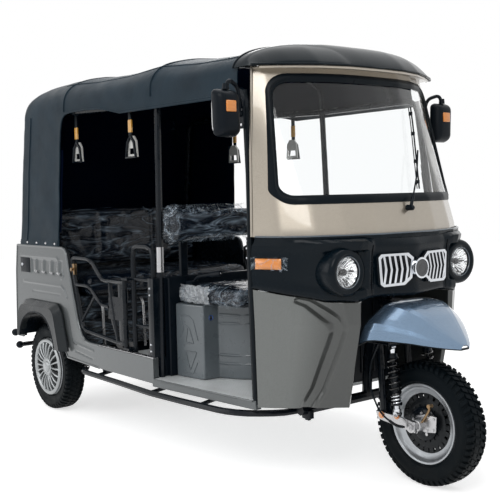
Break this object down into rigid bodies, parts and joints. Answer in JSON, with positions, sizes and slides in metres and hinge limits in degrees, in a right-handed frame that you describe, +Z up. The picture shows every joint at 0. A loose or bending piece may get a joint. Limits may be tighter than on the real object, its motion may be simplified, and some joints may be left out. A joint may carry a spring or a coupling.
{
  "type": "electric rickshaw",
  "caption": "Three-wheeled electric passenger rickshaw with an open-sided cab, bench seats, soft canopy, side gates, curved windscreen and a leading-link front fork.",
  "frame": {"origin": "on the ground under the middle of the whole vehicle's length and width", "axes": "+X forward, +Y to the vehicle's left, +Z up"},
  "size_m": [3.0599, 1.47, 1.931],
  "materials": {
    "champagne_paint": "metallic gloss",
    "grey_paint": "metallic gloss",
    "fender_paint": "metallic gloss",
    "black_plastic": "satin moulded",
    "black_gloss": "high gloss",
    "black_paint": "gloss",
    "rubber": "matte",
    "tyre": "matte",
    "rim_silver": "satin",
    "cap_silver": "satin silver",
    "chrome": "mirror",
    "steel": "plated",
    "screen_glass": "clear",
    "lamp_glass": "clear",
    "canopy_cloth": "coated cloth",
    "seat_vinyl": "vinyl",
    "seat_box_grey": "satin",
    "deck_plate": "chequered"
  },
  "bodies": {
    "main_body": {"chassis_frame": "black_paint", "floor_plate": "deck_plate", "rear_axle": "black_paint", "dashboard": "black_plastic", "front_mudguard": "fender_paint", "cab_lower_panel_right": "grey_paint", "cab_lower_panel_left": "grey_paint", "front_bulkhead": "black_plastic", "belt_band": "black_plastic", "headlight_right": "lamp_glass", "headlight_left": "lamp_glass", "grille": "chrome", "windscreen_frame": "champagne_paint", "windscreen_seal": "rubber", "windscreen_glass": "screen_glass", "wiper": "black_plastic", "roof_visor": "black_gloss", "mirror_right": "black_plastic", "mirror_left": "black_plastic", "side_frame_right": "black_paint", "side_frame_left": "black_paint", "roof_bows": "black_paint", "canopy": "canopy_cloth", "rear_quarter_right": "grey_paint", "rear_quarter_left": "grey_paint", "tail_panel": "grey_paint", "fender_flare_right": "black_plastic", "fender_flare_left": "black_plastic", "side_sill_right": "grey_paint", "side_sill_left": "grey_paint", "driver_seat_box": "seat_box_grey", "partition": "black_plastic", "driver_cushion": "seat_vinyl", "driver_backrest": "seat_vinyl", "battery_pack": "black_plastic", "bench_base": "black_plastic", "bench_cushion": "seat_vinyl", "bench_backrest": "seat_vinyl"},
    "steering_body": {"front_fork": "black_paint", "front_axle_links": "steel", "front_shock_right": "black_plastic", "front_shock_left": "black_plastic", "brake_cable": "rubber", "handlebar": "black_paint"},
    "front_wheel_body": {"front_tyre": "tyre", "front_rim": "rim_silver"},
    "rear_right_wheel_body": {"rear_tyre_right": "tyre", "rear_wheel_right": "cap_silver"},
    "rear_left_wheel_body": {"rear_tyre_left": "tyre", "rear_wheel_left": "cap_silver"},
    "right_gate_body": {"side_gate_right": "black_paint"},
    "left_gate_body": {"side_gate_left": "black_paint"}
  },
  "joints": [
    {"name": "steering", "type": "hinge", "parent": "main_body", "child": "steering_body", "pos_m": [1.13, 0, 0.5], "axis": [-0.342, 0, 0.9397], "range_deg": [-35, 35]},
    {"name": "front_wheel_spin", "type": "hinge", "parent": "steering_body", "child": "front_wheel_body", "pos_m": [1.27, 0, 0.26], "axis": [0, 1, 0], "continuous": true},
    {"name": "rear_right_wheel_spin", "type": "hinge", "parent": "main_body", "child": "rear_right_wheel_body", "pos_m": [-1.1, -0.53, 0.25], "axis": [0, 1, 0], "continuous": true},
    {"name": "rear_left_wheel_spin", "type": "hinge", "parent": "main_body", "child": "rear_left_wheel_body", "pos_m": [-1.1, 0.53, 0.25], "axis": [0, 1, 0], "continuous": true},
    {"name": "right_gate_swing", "type": "hinge", "parent": "main_body", "child": "right_gate_body", "pos_m": [-0.17, -0.6, 0.64], "axis": [0, 0, 1], "range_deg": [0, 90]},
    {"name": "left_gate_swing", "type": "hinge", "parent": "main_body", "child": "left_gate_body", "pos_m": [-0.17, 0.6, 0.64], "axis": [0, 0, -1], "range_deg": [0, 90]}
  ]
}
